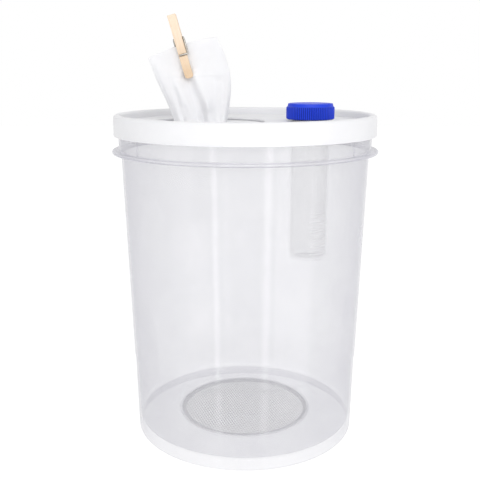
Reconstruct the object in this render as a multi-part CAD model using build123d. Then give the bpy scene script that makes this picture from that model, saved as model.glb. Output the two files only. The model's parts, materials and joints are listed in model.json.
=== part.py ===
from build123d import *
import os
from math import cos, hypot, pi, radians, sin

os.makedirs("parts", exist_ok=True)

# A tall translucent rearing tub with a woven vent in its floor. Its white snap lid carries a cloth
# sleeve, closed by a wooden clothespin, and a capped sample tube that hangs into the tub.
# Sizes are in millimetres. The tub stands on Z = 0 about the axis X = Y = 0, and its front faces -Y.

# Clearances
seat_gap = 0.2          # between flat faces that rest on each other but come apart
soft_clearance = 0.3    # between the cloth and what grips it
slip_clearance = 0.3    # radial, between the lid and the tub's rim, and the tube and its hole

# Tub
wall = 1.4                   # thickness of the wall
foot_radius = 83.3           # outer radius of the wall at the foot
wall_top_radius = 90.0       # outer radius of the wall where it meets the flange
foot_height = 7.6            # from the resting edge up to the underside of the floor
floor_thickness = 1.4
foot_wall = 2.4              # thickness of the foot ring, below the floor
foot_bevel = 1.4             # of the resting edge
floor_bevel = 2.0            # inside, between the floor and the wall
step_level = 59.3            # height of the stacking step in the wall
step_offset = 0.5            # how far the wall steps outwards there
step_rise = 0.8
rim_height = 237.9           # height of the rim that the lid presses over
neck_depth = 25.5            # from the rim down to the underside of the flange
neck_offset = 1.6            # how far the neck stands outside the wall
flange_width = 4.8           # how far the flange stands out of the neck
flange_thickness = 2.2
flange_bevel = 0.7
rim_bead = 1.4               # how far the rim's snap bead stands out of the neck
rim_bead_depth = 5.0
rim_flare = 1.0              # how far the rim's inside opens out over the neck's
rim_flare_depth = 7.5
neck_rib_angle = 51.0        # of each stiffening rib of the neck, from the front or back
neck_rib_width = 1.2
neck_rib_height = 0.8

# Woven vent in the floor
vent_radius = 46.5           # of the hole in the floor
mesh_lap = 3.6               # how far the mesh lies over the floor round the hole
mesh_thickness = 0.8
mesh_pitch = 7.0             # spacing of the windows, coarser than the real weave
mesh_bar = 1.4               # width of the bars between the windows

# Bead of glue that holds a thin disc or cloth down at its edge
bead_lap = 0.9               # how far the bead reaches in over what it holds
bead_foot = 1.3              # how far the bead reaches out beyond it
bead_crown = 0.6             # its height over what it holds

# Lid
lid_wall = 1.5
skirt_depth = 14.8           # from the lid's crest to the bottom of its skirt
skirt_flare = 0.3
recess_depth = 5.4           # from the crest down to the panel
panel_thickness = 1.5
crest_round = 2.2            # outer edge of the crest
crest_bevel = 1.8            # inner edge of the crest
hand_hole_radius = 41.6
hand_hole_x = -27.1
tube_x = 47.5

# Sleeve
cloth = 0.7                  # thickness of the cloth and its gathers, drawn solid
cloth_lap = 5.4              # how far the cloth is bonded under the panel round the hand hole
dish_depth = 8.0             # how far the cloth hangs below the panel where it gathers
dish_inner_radius = 9.0
# Each fold line of the neck, from its left to its right end: X from the middle of the hand hole and
# height over the panel at each end, then half the thickness of the folded cloth between them
neck_lines = [
    (-20.9, -9.4, 16.6, -9.4, 12.5),
    (-24.1, 0.0, 13.6, 0.0, 10.5),
    (-28.9, 12.0, 15.6, 13.0, 6.5),
    (-34.9, 25.0, 16.4, 29.0, 0.7),
    (-38.9, 36.0, 12.8, 43.7, 0.7),
    (-42.2, 44.3, 6.7, 59.1, 0.7),
]
oval_sides = 16              # flats round the neck, in place of a smooth oval
hollow_lines = 3             # the lowest lines between which the neck is open inside
hollow_top = 0.6             # how far the open inside goes on towards the next line, as a share

# Sample tube and its cap
tube_radius = 14.4
tube_draft = 0.2             # how much smaller its radius is at the bottom
tube_wall = 1.1
tube_length = 112.6
tube_bottom_bevel = 2.4
collar_width = 1.8           # how far the collar stands out of the tube
collar_thickness = 1.0
collar_to_mouth = 9.7
thread_height = 0.9          # of the screw thread, for which the cap leaves room
cap_wall = 1.9
cap_top = 1.4
cap_height = 11.3
cap_shoulder_height = 2.4
cap_shoulder_inset = 0.8
rib_count = 72
rib_height = 0.35
rib_share = 0.5              # of the rib pitch that a rib's crest and foot take together
liner_thickness = 1.0

# Clothespin
peg_width = 5.9
jaw_length = 26.5            # from the spring's axis to the tip of the jaws
handle_length = 18.6         # from the spring's axis to the end of the handles
leg_thickness = 3.7
handle_thickness = 2.3
jaw_tip_thickness = 1.3
jaw_bevel_length = 9.0
jaw_tip_round = 2.0          # seen from the front
leg_edge = 0.35              # chamfer along the outer edges
relief_start = 4.5           # from the spring's axis to where the handles start to part
bite_radius = 1.6            # of the round notch in each jaw
bite_to_tip = 9.5
band_to_axis = 9.8           # from the spring's axis to where its wire crosses the legs
band_notch_depth = 0.5
peg_lean = 15.9              # degrees, of the clothespin from upright, to the left
peg_line_share = 0.456       # where it stands along the sleeve's top edge, from the left
peg_over_edge = 5.0          # height of the spring's axis over the sleeve's top edge
wire_radius = 0.7
coil_radius = 2.0            # of the wire's centre line
coil_turns = 4.5
coil_step = 30.0             # degrees of the coil that each straight length of wire covers
split_step = 8.0             # degrees of the first one, which squares the wire's end to the coil
coil_clearance = 0.15        # between the coil and the grooves it lies in
wire_gap = 0.15              # between the wire and the wood beside it
squeeze_angle = 11.0         # degrees that the rear leg turns when the handles are pressed
split_margin = 4.5           # degrees of the coil left out in its middle, beyond half that angle

# Levels and radii that follow
floor_top = foot_height + floor_thickness
flange_underside = rim_height - neck_depth
flange_top = flange_underside + flange_thickness
neck_radius = wall_top_radius + neck_offset
flange_radius = neck_radius + flange_width
rim_radius = neck_radius + rim_bead
rim_inner_radius = neck_radius - wall + rim_flare
roof_level = rim_height + seat_gap
lid_top = roof_level + lid_wall
skirt_bottom = lid_top - skirt_depth
skirt_inner_radius = rim_radius + slip_clearance
lid_radius = skirt_inner_radius + lid_wall
plug_radius = rim_inner_radius - slip_clearance
recess_radius = plug_radius - lid_wall
panel_top = lid_top - recess_depth
panel_bottom = panel_top - panel_thickness
mesh_radius = vent_radius + mesh_lap
cloth_bond_radius = hand_hole_radius + cloth_lap
collar_bottom = panel_top + seat_gap
mouth_level = collar_bottom + collar_to_mouth
tube_bottom = mouth_level - tube_length
cap_bottom = collar_bottom + collar_thickness + seat_gap
cap_inner_radius = tube_radius + thread_height + slip_clearance
cap_radius = cap_inner_radius + cap_wall
cap_crest = cap_bottom + cap_height
liner_bottom = mouth_level + seat_gap
liner_top = liner_bottom + liner_thickness
coil_pitch = (peg_width + 2 * wire_radius + 2 * wire_gap) / coil_turns
jaw_half_gap = cloth + soft_clearance
leg_outer = jaw_half_gap + leg_thickness


def turned(corners, centre_x=0.0):
    """Solid turned about a vertical axis, from (radius, height, rounding) at each corner of its outline."""
    points = [(radius, 0, height) for radius, height, rounding in corners]
    roundings = [rounding for radius, height, rounding in corners]
    outline = FilletPolyline(*points, radius=roundings, close=True)
    return Pos(centre_x, 0, 0) * revolve(make_face(outline), Axis.Z, 360)


def wall_radius(level):
    """Outer radius of the tapered wall above the step."""
    taper = (wall_top_radius - foot_radius) / flange_underside
    return foot_radius + taper * level


def band_radius(level):
    """Outer radius of the band below the step."""
    taper = (wall_radius(step_level) - step_offset - foot_radius) / step_level
    return foot_radius + taper * level


def neck_rib(angle):
    """Small upright rib on the outside of the neck, between the flange and the lid's skirt."""
    height = skirt_bottom - seat_gap - flange_top
    width = neck_rib_height + wall / 2
    rib = Box(width, neck_rib_width, height, align=(Align.MAX, Align.CENTER, Align.MIN))
    return Rot(0, 0, angle) * Pos(neck_radius + neck_rib_height, 0, flange_top) * rib


def make_tub():
    """Moulded tub: stepped and tapered wall, raised floor with the vent's hole, flange, neck and rim."""
    step_top = step_level + step_rise
    body = turned([
        (foot_radius - foot_bevel, 0, 0),
        (band_radius(foot_bevel), foot_bevel, 0),
        (band_radius(step_level), step_level, 0),
        (wall_radius(step_top), step_top, 0),
        (wall_top_radius, flange_underside, 0),
        (flange_radius - flange_bevel, flange_underside, 0),
        (flange_radius, flange_underside + flange_bevel, 0),
        (flange_radius, flange_top - flange_bevel, 0),
        (flange_radius - flange_bevel, flange_top, 0),
        (neck_radius, flange_top, 0),
        (neck_radius, rim_height - rim_bead_depth - rim_bead, 0),
        (rim_radius, rim_height - rim_bead_depth, 0),
        (rim_radius, rim_height, 0),
        (rim_inner_radius, rim_height, 0),
        (rim_inner_radius, rim_height - rim_flare_depth, 0),
        (neck_radius - wall, rim_height - rim_flare_depth - rim_flare, 0),
        (neck_radius - wall, flange_top, 0),
        (wall_top_radius - wall, flange_underside - neck_offset, 0),
        (wall_radius(step_top) - wall, step_top, 0),
        (band_radius(step_level) - wall, step_level, 0),
        (band_radius(floor_top + floor_bevel) - wall, floor_top + floor_bevel, 0),
        (band_radius(floor_top) - wall - floor_bevel, floor_top, 0),
        (vent_radius, floor_top, 0),
        (vent_radius, foot_height, 0),
        (band_radius(foot_height) - foot_wall, foot_height, 0),
        (foot_radius - foot_wall, 0, 0),
    ])
    sides = (neck_rib_angle, 180 - neck_rib_angle, 180 + neck_rib_angle, 360 - neck_rib_angle)
    for side in sides:
        body += neck_rib(side - 90)
    return body


def make_vent_mesh():
    """Round woven mesh, as a flat lattice with a whole rim where it lies on the floor."""
    window = mesh_pitch - mesh_bar
    reach = int(vent_radius / mesh_pitch)
    places = []
    for column in range(-reach, reach + 1):
        for row in range(-reach, reach + 1):
            far_corner = hypot(abs(column) * mesh_pitch + window / 2, abs(row) * mesh_pitch + window / 2)
            if far_corner < vent_radius:
                places.append((column * mesh_pitch, row * mesh_pitch))
    lattice = Circle(mesh_radius) - Locations(*places) * Rectangle(window, window)
    return Pos(0, 0, floor_top) * extrude(lattice, mesh_thickness)


def bond_bead(radius, level, held, side, centre_x=0.0):
    """Bead of glue over the edge of a disc of this radius that lies on a face, side +1 on top, -1 below."""
    crown = held + bead_crown
    return turned([
        (radius, level, 0),
        (radius, level + side * held, 0),
        (radius - bead_lap, level + side * held, 0),
        (radius - bead_lap / 2, level + side * crown, 0),
        (radius + bead_foot / 2, level + side * crown, 0),
        (radius + bead_foot, level, 0),
    ], centre_x)


def make_lid():
    """Snap lid: skirt, rounded crest, plug wall and sunk panel with the hand hole and the tube's hole."""
    body = turned([
        (lid_radius + skirt_flare, skirt_bottom, 0),
        (lid_radius, lid_top, crest_round),
        (recess_radius + crest_bevel, lid_top, 0),
        (recess_radius, lid_top - crest_bevel, 0),
        (recess_radius, panel_top, 0),
        (0, panel_top, 0),
        (0, panel_bottom, 0),
        (plug_radius, panel_bottom, 0),
        (plug_radius, roof_level, 0),
        (skirt_inner_radius, roof_level, 0),
        (skirt_inner_radius + skirt_flare, skirt_bottom, 0),
    ])
    deep = 2 * panel_thickness
    middle = (panel_top + panel_bottom) / 2
    body -= Pos(hand_hole_x, 0, middle) * Cylinder(hand_hole_radius, deep)
    body -= Pos(tube_x, 0, middle) * Cylinder(tube_radius + slip_clearance, deep)
    return body


def neck_section(line, inset):
    """Flattened oval across the neck at one of its lines, smaller all round by the inset."""
    left_x, left_rise, right_x, right_rise, half_thickness = line
    run = right_x - left_x
    climb = right_rise - left_rise
    middle = (hand_hole_x + (left_x + right_x) / 2, 0, panel_top + (left_rise + right_rise) / 2)
    across = Plane(origin=middle, x_dir=(run, 0, climb), z_dir=(-climb, 0, run))
    half_width = hypot(run, climb) / 2 - inset
    corners = []
    for side in range(oval_sides):
        turn = 2 * pi * side / oval_sides
        corners.append((half_width * cos(turn), (half_thickness - inset) * sin(turn)))
    return across * make_face(Polyline(*corners, close=True))


def between(low, high, share):
    """Line of the neck between two of its lines."""
    return tuple(a + (b - a) * share for a, b in zip(low, high))


def make_sleeve():
    """Cloth sleeve: bonded flange, dished gather and open neck that is folded flat towards its top edge."""
    outer = loft([neck_section(line, 0) for line in neck_lines], ruled=True)
    open_lines = [neck_section(line, cloth) for line in neck_lines[:hollow_lines]]
    last = between(neck_lines[hollow_lines - 1], neck_lines[hollow_lines], hollow_top)
    inner = loft(open_lines + [neck_section(last, cloth)], ruled=True)
    dish_level = panel_bottom - dish_depth
    dish = turned([
        (cloth_bond_radius, panel_bottom, 0),
        (hand_hole_radius, panel_bottom, 0),
        (dish_inner_radius, dish_level, 0),
        (dish_inner_radius, dish_level - cloth, 0),
        (hand_hole_radius, panel_bottom - cloth, 0),
        (cloth_bond_radius, panel_bottom - cloth, 0),
    ], hand_hole_x)
    mouth = Pos(0, 0, -2 * dish_depth) * neck_section(neck_lines[0], cloth)
    well = extrude(mouth, 2 * dish_depth, dir=(0, 0, 1))
    return dish + outer - inner - well


def make_tube():
    """Flat-bottomed sample tube with the collar that it hangs by and a plain neck for the cap."""
    bottom_radius = tube_radius - tube_draft
    return turned([
        (0, tube_bottom, 0),
        (bottom_radius - tube_bottom_bevel, tube_bottom, 0),
        (bottom_radius, tube_bottom + tube_bottom_bevel, 0),
        (tube_radius, collar_bottom, 0),
        (tube_radius + collar_width, collar_bottom, 0),
        (tube_radius + collar_width, collar_bottom + collar_thickness, 0),
        (tube_radius, collar_bottom + collar_thickness, 0),
        (tube_radius, mouth_level, 0),
        (tube_radius - tube_wall, mouth_level, 0),
        (bottom_radius - tube_wall, tube_bottom + tube_wall + tube_bottom_bevel, 0),
        (bottom_radius - tube_wall - tube_bottom_bevel, tube_bottom + tube_wall, 0),
        (0, tube_bottom + tube_wall, 0),
    ], tube_x)


def make_cap():
    """Screw cap: ribbed grip, smooth sloping shoulder and flat top, hollow underneath."""
    grip_top = cap_crest - cap_shoulder_height
    pitch = 2 * pi / rib_count
    flank = pitch * (1 - rib_share) / 2
    crest = pitch * rib_share / 2
    points = []
    for rib in range(rib_count):
        middle = rib * pitch
        for turn, radius in (
            (-crest / 2 - flank, cap_radius - rib_height),
            (-crest / 2, cap_radius),
            (crest / 2, cap_radius),
            (crest / 2 + flank, cap_radius - rib_height),
        ):
            points.append((radius * cos(middle + turn), radius * sin(middle + turn)))
    grip = extrude(make_face(Polyline(*points, close=True)), cap_height - cap_shoulder_height)
    shoulder = turned([
        (0, grip_top, 0),
        (cap_radius - rib_height, grip_top, 0),
        (cap_radius - rib_height - cap_shoulder_inset / 3, cap_crest - cap_shoulder_inset, 0),
        (cap_radius - rib_height - cap_shoulder_inset, cap_crest, 0),
        (0, cap_crest, 0),
    ], tube_x)
    inside_height = cap_height - cap_top
    inside = Cylinder(cap_inner_radius, inside_height, align=(Align.CENTER, Align.CENTER, Align.MIN))
    return Pos(tube_x, 0, cap_bottom) * grip + shoulder - Pos(tube_x, 0, cap_bottom) * inside


def make_liner():
    """Sealing disc under the top of the cap."""
    disc = Cylinder(cap_inner_radius - slip_clearance, liner_thickness)
    return Pos(tube_x, 0, (liner_bottom + liner_top) / 2) * disc


def peg_frame():
    """Plane on the spring's axis: X towards the handles, Y to the front, Z along the axis to the right."""
    left_x, left_rise, right_x, right_rise, _ = neck_lines[-1]
    along = (-sin(radians(peg_lean)), 0, cos(radians(peg_lean)))
    axis = (cos(radians(peg_lean)), 0, sin(radians(peg_lean)))
    x = hand_hole_x + left_x + (right_x - left_x) * peg_line_share
    z = panel_top + left_rise + (right_rise - left_rise) * peg_line_share + peg_over_edge
    return Plane(origin=(x, 0, z), x_dir=along, z_dir=axis)


def make_leg():
    """Front leg in the clothespin's own frame: jaw, spring groove, wire notch and slanted handle."""
    notch = wire_radius + wire_gap
    outline = Polyline(
        (-jaw_length, jaw_half_gap),
        (-jaw_length, jaw_half_gap + jaw_tip_thickness),
        (-jaw_length + jaw_bevel_length, leg_outer),
        (-band_to_axis - notch, leg_outer),
        (-band_to_axis - notch, leg_outer - band_notch_depth),
        (-band_to_axis + notch, leg_outer - band_notch_depth),
        (-band_to_axis + notch, leg_outer),
        (handle_length, leg_outer),
        (handle_length, leg_outer - handle_thickness),
        (relief_start, jaw_half_gap),
        close=True,
    )
    groove = Circle(coil_radius + wire_radius + coil_clearance)
    bite = Pos(-jaw_length + bite_to_tip, jaw_half_gap) * Circle(bite_radius)
    leg = extrude(make_face(outline) - groove - bite, peg_width / 2, both=True)
    tip_corners = leg.edges().filter_by(Axis.Y).group_by(Axis.X)[0]
    leg = fillet(tip_corners, jaw_tip_round)
    long_edges = leg.edges().filter_by(Axis.X).group_by(Axis.Y)[-1]
    end_edges = leg.edges().filter_by(Axis.Y).group_by(Axis.X)[-1]
    return chamfer(long_edges + end_edges, leg_edge)


def make_spring_half():
    """Front half of the spring in the clothespin's own frame: half the coil and the arm to the front leg."""
    split = squeeze_angle / 2 + split_margin
    end_turn = 360 * coil_turns / 2
    start = split + split_step
    steps = round((end_turn - start) / coil_step)
    points = []
    for turn in [split] + [start + (end_turn - start) * step / steps for step in range(steps + 1)]:
        along_axis = coil_pitch * turn / 360
        points.append((coil_radius * cos(radians(turn)), coil_radius * sin(radians(turn)), along_axis))
    side = coil_pitch * coil_turns / 2
    front = leg_outer - band_notch_depth + wire_radius + wire_gap
    points.append((-coil_radius, coil_radius + wire_radius, side))
    points.append((-band_to_axis, front, side))
    points.append((-band_to_axis, front, -peg_width / 2 + wire_radius))
    path = Polyline(*points)
    first = Plane(origin=path @ 0, z_dir=path % 0)
    return sweep(first * RegularPolygon(wire_radius, 6), path=path, transition=Transition.RIGHT)


def main():
    peg = peg_frame().location
    turn_over = Rot(180, 0, 0)
    leg = make_leg()
    spring_half = make_spring_half()
    nodes = {
        "tub": make_tub(),
        "vent_mesh": make_vent_mesh(),
        "vent_bond_bead": bond_bead(mesh_radius, floor_top, mesh_thickness, 1),
        "lid": make_lid(),
        "sleeve": make_sleeve(),
        "sleeve_bond_bead": bond_bead(cloth_bond_radius, panel_bottom, cloth, -1, hand_hole_x),
        "tube": make_tube(),
        "tube_cap": make_cap(),
        "cap_liner": make_liner(),
        "peg_front_leg": peg * leg,
        "peg_rear_leg": peg * turn_over * leg,
        "peg_spring_front": peg * spring_half,
        "peg_spring_rear": peg * turn_over * spring_half,
    }
    for name, shape in nodes.items():
        export_step(shape, f"parts/{name}.step")


main()
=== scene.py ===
"""Looks of an insect rearing tub: translucent tub, woven vent, white lid, cloth sleeve, clothespin and sample tube.

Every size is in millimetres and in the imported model's own frame: Z = 0 is the surface that the tub stands on, the
tub's axis is X = Y = 0 and its front faces -Y. A mesh is turned into metres when it is finished.
"""
import json
import logging
from dataclasses import dataclass
from enum import Enum
from math import atan2, cos, exp, hypot, pi, radians, sin, sqrt
from typing import ClassVar, Optional, Sequence

import bmesh
import bpy
from mathutils import Matrix, Vector

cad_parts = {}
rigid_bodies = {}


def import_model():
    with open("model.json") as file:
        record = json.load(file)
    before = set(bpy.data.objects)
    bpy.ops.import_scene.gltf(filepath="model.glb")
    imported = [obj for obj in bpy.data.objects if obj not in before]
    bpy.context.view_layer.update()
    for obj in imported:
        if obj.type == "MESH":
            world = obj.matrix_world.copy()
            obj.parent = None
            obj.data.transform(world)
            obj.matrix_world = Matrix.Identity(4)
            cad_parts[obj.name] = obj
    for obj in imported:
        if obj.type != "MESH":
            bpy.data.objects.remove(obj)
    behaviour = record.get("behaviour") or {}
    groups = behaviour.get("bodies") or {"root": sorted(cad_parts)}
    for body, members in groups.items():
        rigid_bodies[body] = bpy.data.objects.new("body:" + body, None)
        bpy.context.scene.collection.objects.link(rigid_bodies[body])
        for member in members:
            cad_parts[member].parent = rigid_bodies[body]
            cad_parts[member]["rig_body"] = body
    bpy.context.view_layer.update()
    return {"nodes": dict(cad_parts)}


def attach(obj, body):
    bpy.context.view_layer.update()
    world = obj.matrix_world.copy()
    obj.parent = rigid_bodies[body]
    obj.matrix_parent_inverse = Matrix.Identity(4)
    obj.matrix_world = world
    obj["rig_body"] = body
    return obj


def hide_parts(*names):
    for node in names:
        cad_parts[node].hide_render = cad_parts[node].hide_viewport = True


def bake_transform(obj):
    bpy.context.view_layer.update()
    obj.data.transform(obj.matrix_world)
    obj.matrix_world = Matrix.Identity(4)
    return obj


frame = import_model()

METRE = 0.001
WHITE = (1, 1, 1, 1)
LOG = logging.getLogger("rearing_tub")
Mesh = bmesh.types.BMesh
Socket = bpy.types.NodeSocket
Pair = tuple[float, float]
Triple = tuple[float, float, float]
Segment = tuple[Pair, Pair, float, float]


class Slot(Enum):
    """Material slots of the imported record."""

    TUB = "translucent_plastic"
    MESH = "woven_steel"
    GLUE = "glue"
    LID = "white_plastic"
    CLOTH = "cloth"
    TUBE = "clear_plastic"
    CAP = "blue_plastic"
    LINER = "liner_foam"
    WOOD = "wood"
    WIRE = "spring_wire"


class Body(Enum):
    """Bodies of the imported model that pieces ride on."""

    TUB = "tub"
    LID = "lid"
    TUBE = "tube"
    LINER = "liner"
    CAP = "cap"
    PEG_FRONT = "peg_front"
    PEG_REAR = "peg_rear"


@dataclass
class Recipe:
    """Node tree of a material or of the world, with short calls to fill it."""

    owner: bpy.types.ID

    def __post_init__(self) -> None:
        """Empties the owner's node tree."""
        self.owner.use_nodes = True
        self.owner.node_tree.nodes.clear()

    def node(self, kind: str, sockets: Optional[dict] = None, **settings: object) -> bpy.types.Node:
        """Adds a shader node.

        Args:
            kind: Blender's name of the node's type, after its first word ShaderNode.
            sockets: Values or output sockets for the node's inputs, by name or number.
            settings: Attributes of the node.

        Returns:
            The new node.
        """
        made = self.owner.node_tree.nodes.new("ShaderNode" + kind)
        for name, value in settings.items():
            setattr(made, name, value)
        for name, value in (sockets or {}).items():
            if isinstance(value, Socket):
                self.owner.node_tree.links.new(value, made.inputs[name])
            else:
                made.inputs[name].default_value = value
        return made

    def math(self, operation: str, *values: object, clamp: bool = False) -> Socket:
        """Adds a Math node over the given values and returns its result."""
        made = self.node("Math", dict(enumerate(values)), operation=operation, use_clamp=clamp)
        return made.outputs[0]

    def place(self, location: Sequence[float] = (0, 0, 0), turn: Sequence[float] = (0, 0, 0),
              stretch: Sequence[float] = (1, 1, 1)) -> Socket:
        """Returns Object coordinates seen from a place of the piece, turned and stretched there."""
        source = self.node("TexCoord").outputs["Object"]
        return self.node("Mapping", {"Vector": source, "Location": location, "Rotation": turn,
                                               "Scale": stretch}, vector_type="TEXTURE").outputs[0]

    def noise(self, where: Socket, scale: float, detail: float = 3.0,
              roughness: float = 0.5) -> Socket:
        """Returns the value of a noise texture at these coordinates."""
        return self.node("TexNoise", {"Vector": where, "Scale": scale, "Detail": detail,
                                                "Roughness": roughness}).outputs["Fac"]

    def spread(self, value: Socket, low: float, high: float, to_low: float = 0.0, to_high: float = 1.0) -> Socket:
        """Returns the value with low to high mapped onto to_low to to_high."""
        return self.node("MapRange", {"Value": value, "From Min": low, "From Max": high,
                                                "To Min": to_low, "To Max": to_high}).outputs[0]

    def blend_colours(self, share: Socket, first: Sequence[float],
                      second: Sequence[float]) -> Socket:
        """Mixes two plain colours.

        Args:
            share: Share of the second colour.
            first: The first colour.
            second: The second colour.

        Returns:
            The mixed colour.
        """
        ramp = self.node("ValToRGB", {"Fac": share})
        ramp.color_ramp.elements[0].color = (*first, 1)
        ramp.color_ramp.elements[1].color = (*second, 1)
        return ramp.outputs["Color"]

    def bump(self, height: Socket, distance: float, strength: float = 1.0,
             below: Optional[Socket] = None) -> Socket:
        """Makes a relief.

        Args:
            height: The relief's shape.
            distance: Its height, in metres.
            strength: Its strength.
            below: A normal that it is laid over.

        Returns:
            The normal.
        """
        sockets = {"Height": height, "Distance": distance, "Strength": strength}
        if below is not None:
            sockets["Normal"] = below
        return self.node("Bump", sockets).outputs[0]

    def seen(self) -> Socket:
        """Returns 1 for what the camera, a mirror or clear plastic shows, and 0 for what only lights the object."""
        path = self.node("LightPath").outputs
        return self.math("MAXIMUM", path["Is Camera Ray"], self.math(
            "MAXIMUM", path["Is Glossy Ray"], path["Is Transmission Ray"]))

    def finish(self, surface: Socket, output: str = "OutputMaterial") -> bpy.types.ID:
        """Joins the surface to the output and returns the tree's owner."""
        self.node(output, {"Surface": surface})
        return self.owner


@dataclass(frozen=True)
class Finish:
    """A surface finish that becomes a material the first time that a piece wears it."""

    name: str
    made: ClassVar[dict[str, bpy.types.Material]] = {}

    def material(self) -> bpy.types.Material:
        """Makes the finish's material once.

        Returns:
            The material.
        """
        if self.name not in Finish.made:
            Finish.made[self.name] = self.build(Recipe(bpy.data.materials.new(self.name)))
        return Finish.made[self.name]


@dataclass(frozen=True)
class SeeThroughMoulding(Finish):
    """Thin moulded plastic that shows what is behind it through a slight haze."""

    colour: Triple = (0.9, 0.9, 0.925)
    haze: float = 0.05
    milky_rim: float = 0.0
    rim_band: Pair = (0.0009, 0.0018)
    rim_haze: float = 1.8
    gloss: float = 0.16
    edge_haze: float = 2.5
    ripple: float = 0.00002

    def build(self, recipe: Recipe) -> bpy.types.Material:
        """Makes a mix of clear, hazy and glossy shares by the angle of view.

        Args:
            recipe: The empty material.

        Returns:
            The material.
        """
        where = recipe.place()
        flow = recipe.noise(where, 28.0, 2.0)
        facing = recipe.node("LayerWeight", {"Blend": 0.5}).outputs["Facing"]
        slant = recipe.math("MULTIPLY_ADD", recipe.math("POWER", facing, 3.0), self.edge_haze, 1.0)
        level = recipe.spread(flow, 0.3, 0.7, 0.9 * self.haze, 1.1 * self.haze)
        if self.milky_rim:
            height = recipe.node("SeparateXYZ", {"Vector": where}).outputs["Z"]
            away = recipe.math("ABSOLUTE", recipe.math("SUBTRACT", height, self.milky_rim))
            level = recipe.math("MULTIPLY", level, recipe.spread(away, *self.rim_band, self.rim_haze, 1.0))
        share = recipe.math("MULTIPLY", level, slant, clamp=True)
        normal = recipe.bump(recipe.noise(where, 160.0, 2.0), self.ripple)
        solid = recipe.node("BsdfPrincipled", {
            "Base Color": (*self.colour, 1), "Roughness": 0.5, "Specular IOR Level": 0.0, "Normal": normal})
        clear = recipe.node("BsdfTransparent", {"Color": WHITE})
        body = recipe.node("MixShader", {0: share, 1: clear.outputs[0], 2: solid.outputs[0]})
        sheen = recipe.math("MULTIPLY_ADD", recipe.math("POWER", facing, 5.0), 0.5, 0.04)
        shine = recipe.node("BsdfGlossy", {"Color": WHITE, "Roughness": self.gloss,
                                                     "Normal": normal})
        return recipe.finish(recipe.node("MixShader", {
            0: sheen, 1: body.outputs[0], 2: shine.outputs[0]}).outputs[0])


@dataclass(frozen=True)
class SolidMoulding(Finish):
    """Opaque moulded plastic with a faint grain, and with painted shade in the valleys of a ribbed grip when ribs are
    given.
    """

    colour: Triple = (0.79, 0.79, 0.805)
    worn_colour: Triple = (0.76, 0.76, 0.78)
    roughness: float = 0.38
    grain: float = 0.00003
    shine: float = 0.4
    # ribs: axis X, valley radius and crest radius of a ribbed grip, whose valleys get painted shade; rib_top: height
    # above which none is painted.
    ribs: Optional[Triple] = None
    rib_top: float = 0.0

    def build(self, recipe: Recipe) -> bpy.types.Material:
        """Makes a satin surface whose tone and roughness drift a little, with painted shade between grip ribs when ribs
        are given.

        Args:
            recipe: The empty material.

        Returns:
            The material.
        """
        where = recipe.place()
        cloud = recipe.noise(where, 34.0, 4.0)
        colour = recipe.blend_colours(recipe.spread(cloud, 0.35, 0.65), self.colour, self.worn_colour)
        # Painted shade: the colour falls to half in the valleys between the grip's ribs, below rib_top, where shade
        # would fall.
        if self.ribs:
            centre_x, valley, crest = self.ribs
            ways = recipe.node("SeparateXYZ", {"Vector": recipe.place((centre_x, 0, 0))})
            squares = [recipe.math("POWER", recipe.math("ABSOLUTE", ways.outputs[n]), 2.0) for n in (0, 1)]
            reach = recipe.math("SQRT", recipe.math("ADD", *squares))
            above = recipe.spread(ways.outputs[2], self.rib_top, self.rib_top + 0.0002)
            painted_valley_shade = recipe.math("MAXIMUM", recipe.spread(reach, valley, crest, 0.5, 1.0), above)
            colour = recipe.node("VectorMath", {0: colour, 1: painted_valley_shade}, operation="MULTIPLY").outputs[0]
        rough = recipe.spread(recipe.noise(where, 90.0, 4.0), 0.3, 0.7, self.roughness - 0.05,
                              self.roughness + 0.07)
        normal = recipe.bump(recipe.noise(where, 900.0, 3.0), self.grain)
        return recipe.finish(recipe.node("BsdfPrincipled", {
            "Base Color": colour, "Roughness": rough, "Specular IOR Level": self.shine,
            "Normal": normal}).outputs[0])


@dataclass(frozen=True)
class DrawnMetal(Finish):
    """Drawn wire with fine scratches along it."""

    colour: Triple = (0.55, 0.55, 0.56)
    dark_colour: Triple = (0.42, 0.42, 0.43)
    roughness: float = 0.35

    def build(self, recipe: Recipe) -> bpy.types.Material:
        """Makes a metal whose tone varies along the wire.

        Args:
            recipe: The empty material.

        Returns:
            The material.
        """
        where = recipe.place()
        cloud = recipe.noise(where, 400.0, 3.0)
        colour = recipe.blend_colours(recipe.spread(cloud, 0.35, 0.65), self.colour, self.dark_colour)
        rough = recipe.spread(recipe.noise(where, 1500.0, 2.0), 0.3, 0.7, self.roughness - 0.08,
                              self.roughness + 0.08)
        return recipe.finish(recipe.node("BsdfPrincipled", {
            "Base Color": colour, "Metallic": 1.0, "Roughness": rough}).outputs[0])


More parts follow.
